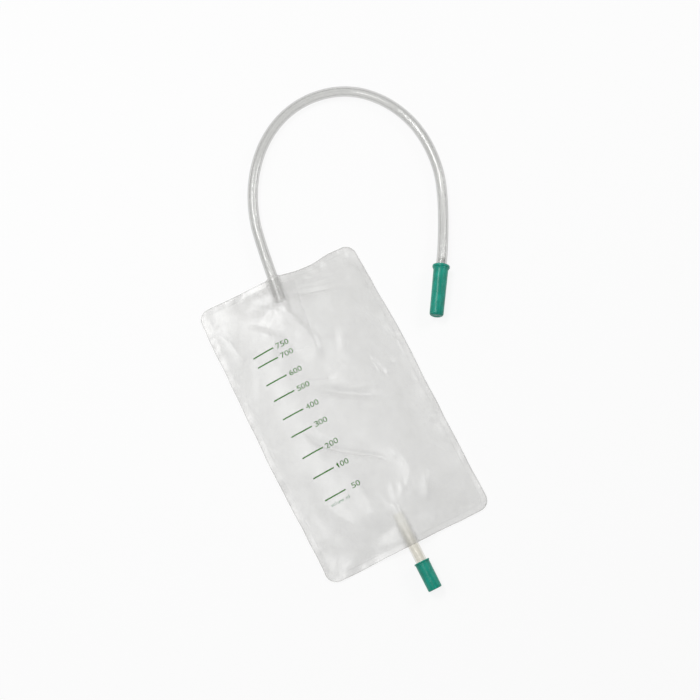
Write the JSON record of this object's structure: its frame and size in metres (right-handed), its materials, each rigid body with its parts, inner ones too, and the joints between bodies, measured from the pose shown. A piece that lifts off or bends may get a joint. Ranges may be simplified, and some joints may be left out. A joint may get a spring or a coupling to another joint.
{
  "type": "urine drainage bag",
  "caption": "Flat clear drainage bag of two welded films with a volume scale, a long looped inlet tube under a slip-on cap and a short capped outlet tube.",
  "frame": {"origin": "middle of the back film's underside, on the surface that the bag lies on", "axes": "+Y up the bag to the inlet, +X to the right of its printed front, +Z out of the front film"},
  "size_m": [0.2554, 0.4409, 0.0152],
  "materials": {
    "clear_film": "soft clear film with a faint grey haze and a glossy crumpled surface",
    "valve_film": "thin clear film, slightly milky",
    "clear_tubing": "smooth clear tubing with a grey cast",
    "cream_tubing": "smooth clear tubing with a cream cast",
    "white_plastic": "moulded, satin",
    "green_vinyl": "dipped vinyl, satin gloss"
  },
  "bodies": {
    "bag": {"front_film": "clear_film", "back_film": "clear_film", "valve_front_flap": "valve_film", "valve_back_flap": "valve_film", "inlet_tube": "clear_tubing", "catheter_connector": "white_plastic", "outlet_tube": "cream_tubing"},
    "inlet_closure": {"inlet_cap": "green_vinyl"},
    "outlet_closure": {"outlet_cap": "green_vinyl"}
  },
  "joints": [
    {"name": "inlet_cap_pull", "type": "slide", "parent": "bag", "child": "inlet_closure", "axis": [-0.5408, -0.8412, 0], "range_m": [0, 0.038]},
    {"name": "outlet_cap_pull", "type": "slide", "parent": "bag", "child": "outlet_closure", "axis": [0, -1, 0], "range_m": [0, 0.02]}
  ]
}
